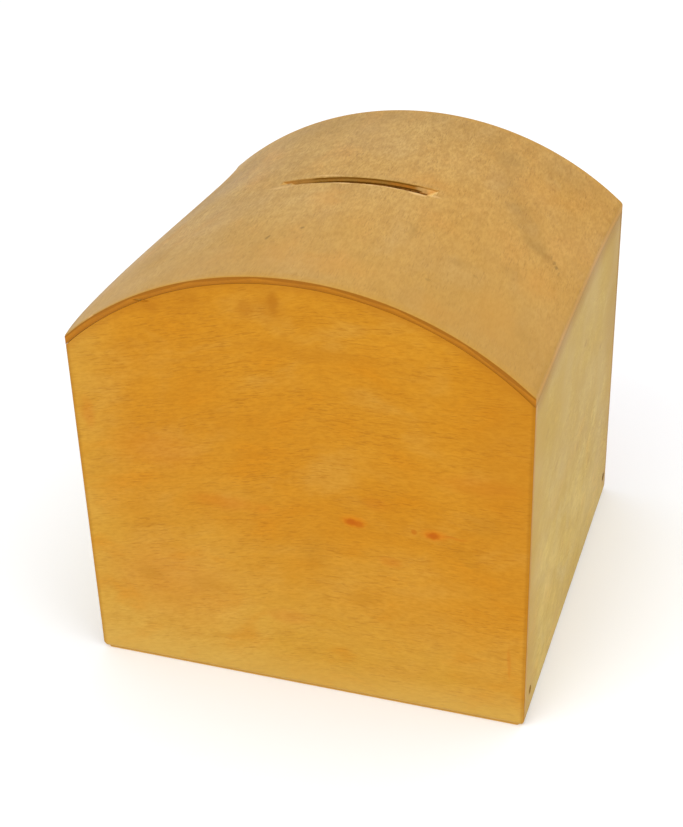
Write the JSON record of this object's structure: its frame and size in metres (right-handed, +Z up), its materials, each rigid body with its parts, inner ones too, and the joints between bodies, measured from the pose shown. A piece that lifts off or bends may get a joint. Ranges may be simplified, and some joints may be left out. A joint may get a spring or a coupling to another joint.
{
  "type": "money box",
  "caption": "Cube-shaped wooden money box with an arched bent-plywood top, a coin slot in its crown and a push-in stopper under its base.",
  "frame": {"origin": "centre of the footprint, on the surface that the box stands on", "axes": "+Z up, front panel towards -Y, +X to the right as seen from the front"},
  "size_m": [0.15, 0.149, 0.1516],
  "materials": {
    "front_ply": "amber varnished plywood, satin",
    "top_ply": "thinly varnished bent plywood, satin",
    "side_wood": "pale varnished solid wood, satin",
    "base_wood": "bare sanded wood",
    "pin_steel": "dull, slightly rusted nail steel",
    "stopper_rubber": "matt black rubber"
  },
  "bodies": {
    "box": {"front_panel": "front_ply", "back_panel": "front_ply", "left_side_board": "side_wood", "right_side_board": "side_wood", "base_board": "base_wood", "curved_top": "top_ply", "left_front_base_pin": "pin_steel", "left_back_base_pin": "pin_steel", "right_front_base_pin": "pin_steel", "right_back_base_pin": "pin_steel"},
    "stopper": {"rubber_stopper": "stopper_rubber"}
  },
  "joints": [
    {"name": "stopper_pull", "type": "slide", "parent": "box", "child": "stopper", "axis": [0, 0, -1], "range_m": [0, 0.02]}
  ]
}
